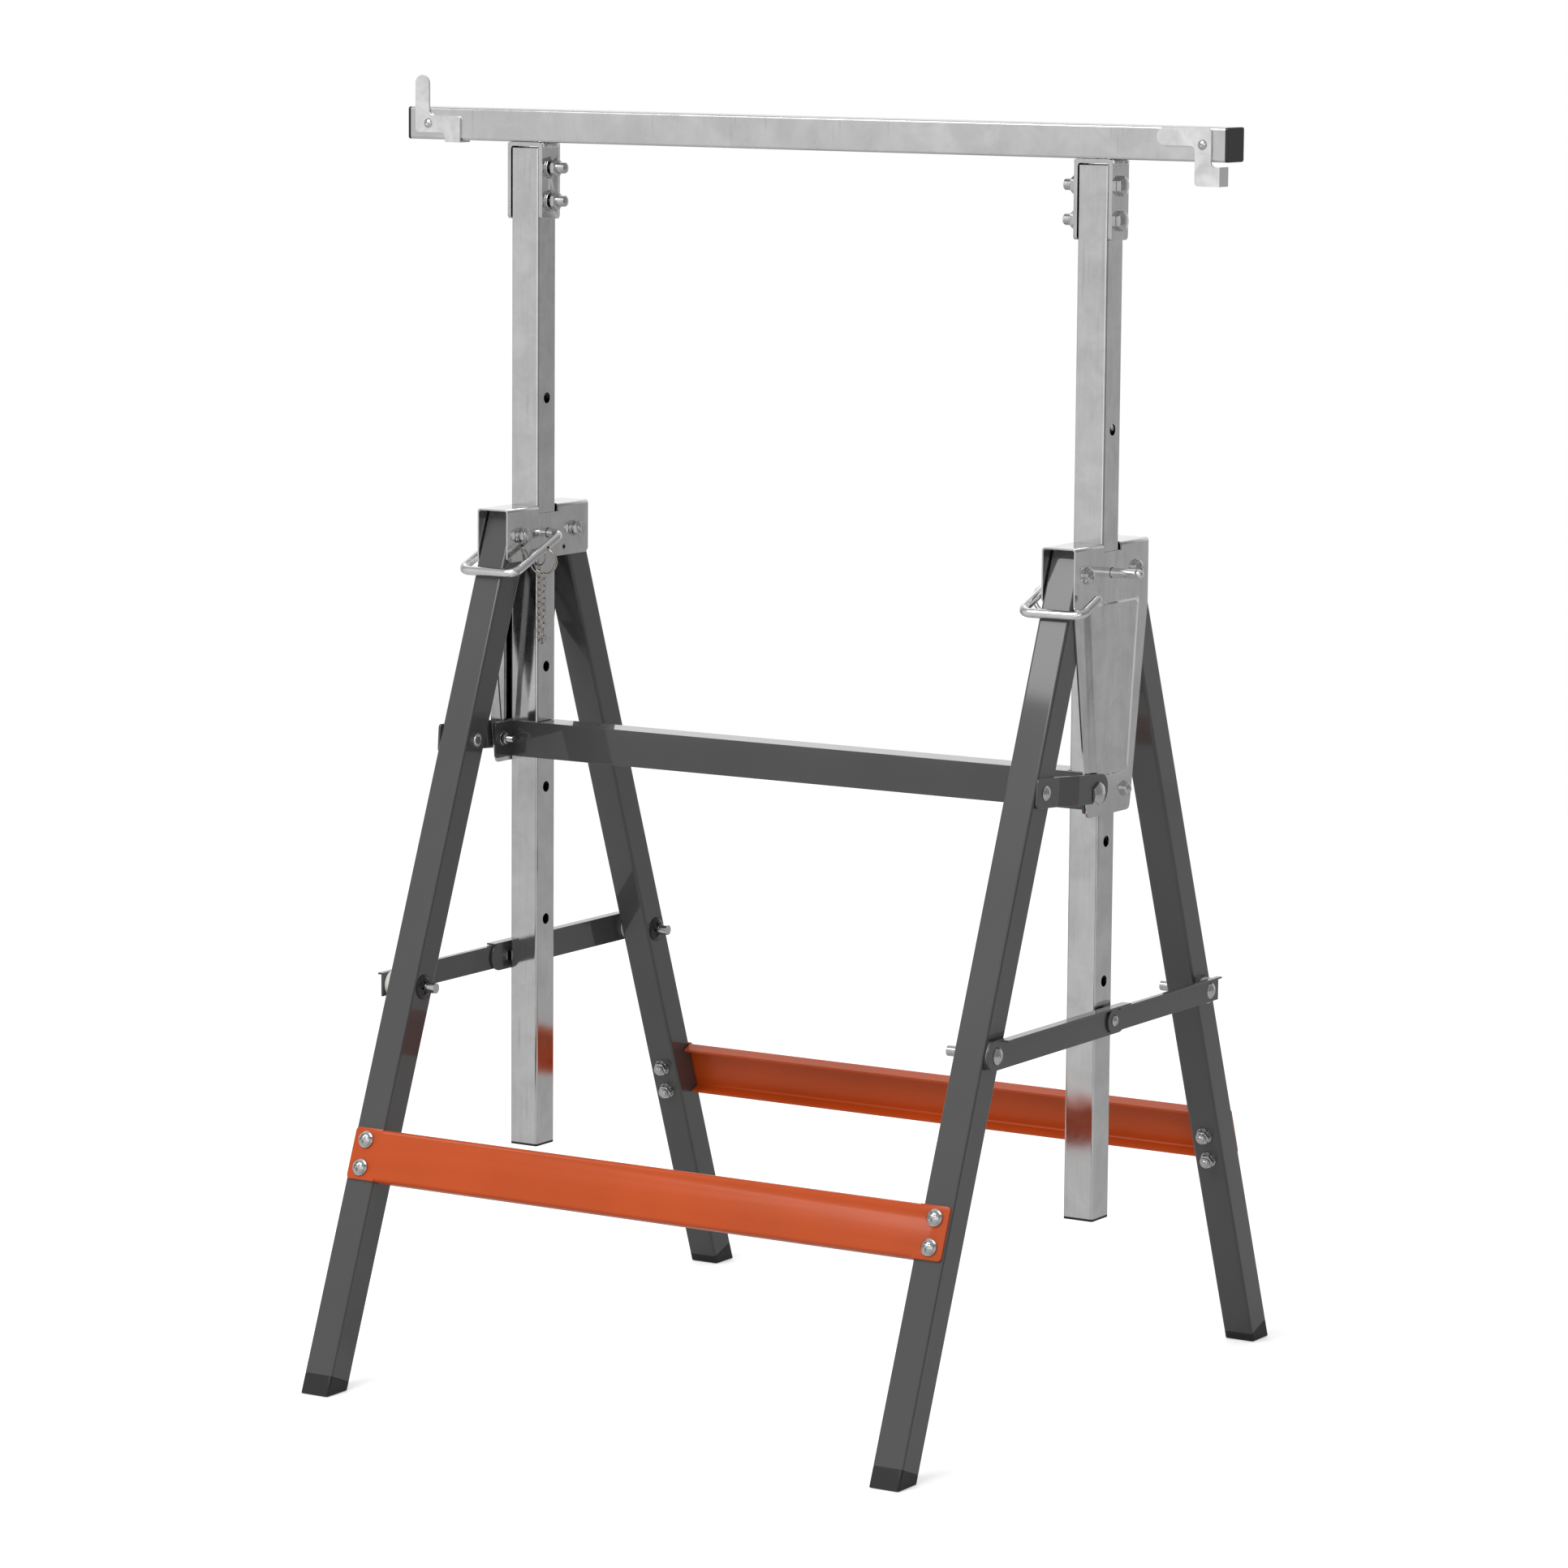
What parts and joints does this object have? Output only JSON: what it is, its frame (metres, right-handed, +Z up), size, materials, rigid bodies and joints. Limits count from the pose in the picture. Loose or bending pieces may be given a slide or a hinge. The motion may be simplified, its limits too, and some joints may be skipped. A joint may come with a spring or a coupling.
{
  "type": "builders trestle",
  "caption": "Folding builders trestle: square-tube A-frame legs with orange rails carry a height-adjustable galvanised beam on telescopic posts held by locking pins.",
  "frame": {"origin": "on the floor, under the middle of the outline", "axes": "+Z up, +X along the beam to the right as seen from the front, -Y towards the front rail; millimetre source, metres here"},
  "size_m": [0.72, 0.5738, 0.9827],
  "materials": {
    "dark_paint": "gloss",
    "orange_paint": "satin",
    "zinc_sheet": "bright zinc, lightly brushed",
    "galvanised": "matt galvanised",
    "fasteners": "zinc plated",
    "push_nuts": "dark spring steel",
    "pin_wire": "bright plated wire",
    "chain": "bright plated wire",
    "black_plastic": "fine matt",
    "nylon": "natural nylon"
  },
  "bodies": {
    "base": {"head_left": "zinc_sheet", "head_right": "zinc_sheet", "front_leg_left": "dark_paint", "front_leg_right": "dark_paint", "front_foot_left": "black_plastic", "front_foot_right": "black_plastic", "front_rail": "orange_paint", "front_rail_screws": "fasteners", "front_rail_nuts": "fasteners", "cross_rail": "dark_paint", "latch_bolts": "fasteners", "latch_nuts": "fasteners", "guide_rivets": "fasteners", "pivot_screws": "fasteners", "pivot_nuts": "fasteners", "latch_rivets": "fasteners", "strut_studs_front": "fasteners", "strut_spacers_front": "nylon", "push_nuts_front": "push_nuts", "head_chain_left": "chain", "head_chain_right": "chain"},
    "rear_frame": {"rear_leg_left": "dark_paint", "rear_leg_right": "dark_paint", "rear_foot_left": "black_plastic", "rear_foot_right": "black_plastic", "rear_rail": "orange_paint", "rear_rail_screws": "fasteners", "rear_rail_nuts": "fasteners", "strut_studs_rear": "fasteners", "strut_spacers_rear": "nylon", "push_nuts_rear": "push_nuts"},
    "strut_front_left": {"strut_front_left": "dark_paint", "knee_rivet_left": "fasteners"},
    "strut_front_right": {"strut_front_right": "dark_paint", "knee_rivet_right": "fasteners"},
    "strut_rear_left": {"strut_rear_left": "dark_paint", "strut_end_rivet_left": "fasteners"},
    "strut_rear_right": {"strut_rear_right": "dark_paint", "strut_end_rivet_right": "fasteners"},
    "top": {"beam": "galvanised", "beam_caps": "black_plastic", "saddle_left": "zinc_sheet", "saddle_right": "zinc_sheet", "post_left": "zinc_sheet", "post_right": "zinc_sheet", "post_plugs": "black_plastic", "saddle_bolts": "fasteners", "saddle_nuts": "fasteners", "stop_rivets": "fasteners"},
    "stop_left": {"stop_left": "zinc_sheet"},
    "stop_right": {"stop_right": "zinc_sheet"},
    "pin_left": {"pin_left": "pin_wire"},
    "pin_right": {"pin_right": "pin_wire"},
    "pin_chain_left": {"pin_chain_left": "chain"},
    "pin_chain_right": {"pin_chain_right": "chain"},
    "latch_left": {"latch_left": "dark_paint"},
    "latch_right": {"latch_right": "dark_paint"}
  },
  "joints": [
    {"name": "rear_fold", "type": "hinge", "parent": "base", "child": "rear_frame", "pos_m": [0, 0.04269, 0.631], "axis": [-1, 0, 0], "range_deg": [0, 18]},
    {"name": "strut_front_left_fold", "type": "hinge", "parent": "base", "child": "strut_front_left", "pos_m": [-0.2675, -0.16029, 0.295], "axis": [1, 0, 0], "range_deg": [0, 46.29]},
    {"name": "strut_knee_left", "type": "hinge", "parent": "strut_front_left", "child": "strut_rear_left", "pos_m": [-0.2675, -0.00659, 0.295], "axis": [-1, 0, 0], "range_deg": [0, 96.66]},
    {"name": "strut_front_right_fold", "type": "hinge", "parent": "base", "child": "strut_front_right", "pos_m": [0.2675, -0.16029, 0.295], "axis": [1, 0, 0], "range_deg": [0, 38.98]},
    {"name": "strut_knee_right", "type": "hinge", "parent": "strut_front_right", "child": "strut_rear_right", "pos_m": [0.2675, 0.01195, 0.295], "axis": [-1, 0, 0], "range_deg": [0, 96.66]},
    {"name": "height", "type": "slide", "parent": "base", "child": "top", "axis": [0, 0, 1], "range_m": [-0.105, 0.305]},
    {"name": "stop_left_fold", "type": "hinge", "parent": "top", "child": "stop_left", "pos_m": [-0.34, -0.00681, 0.9455], "axis": [0, 1, 0], "range_deg": [0, 90]},
    {"name": "stop_right_fold", "type": "hinge", "parent": "top", "child": "stop_right", "pos_m": [0.34, -0.00681, 0.9455], "axis": [0, 1, 0], "range_deg": [0, 90]},
    {"name": "pin_swing_left", "type": "hinge", "parent": "base", "child": "pin_left", "pos_m": [-0.2235, 0.00569, 0.6303], "axis": [-1, 0, 0], "range_deg": [0, 95]},
    {"name": "pin_chain_hang_left", "type": "hinge", "parent": "pin_left", "child": "pin_chain_left", "pos_m": [-0.2235, -0.01797, 0.62079], "axis": [-1, 0, 0], "range_deg": [-95, 0]},
    {"name": "latch_lift_left", "type": "hinge", "parent": "base", "child": "latch_left", "pos_m": [-0.2635, -0.09019, 0.4776], "axis": [1, 0, 0], "range_deg": [0, 60]},
    {"name": "pin_swing_right", "type": "hinge", "parent": "base", "child": "pin_right", "pos_m": [0.2235, 0.00569, 0.6303], "axis": [-1, 0, 0], "range_deg": [0, 95]},
    {"name": "pin_chain_hang_right", "type": "hinge", "parent": "pin_right", "child": "pin_chain_right", "pos_m": [0.2235, -0.01797, 0.62079], "axis": [-1, 0, 0], "range_deg": [-95, 0]},
    {"name": "latch_lift_right", "type": "hinge", "parent": "base", "child": "latch_right", "pos_m": [0.2635, -0.09019, 0.4776], "axis": [1, 0, 0], "range_deg": [0, 60]}
  ],
  "couplings": [
    {"joint": "strut_front_left_fold", "follows": "rear_fold", "ratio": 2.5714},
    {"joint": "strut_knee_left", "follows": "rear_fold", "ratio": 5.3694},
    {"joint": "strut_front_right_fold", "follows": "rear_fold", "ratio": 2.1652},
    {"joint": "strut_knee_right", "follows": "rear_fold", "ratio": 5.3694},
    {"joint": "pin_chain_hang_left", "follows": "pin_swing_left", "ratio": -1},
    {"joint": "pin_chain_hang_right", "follows": "pin_swing_right", "ratio": -1}
  ]
}
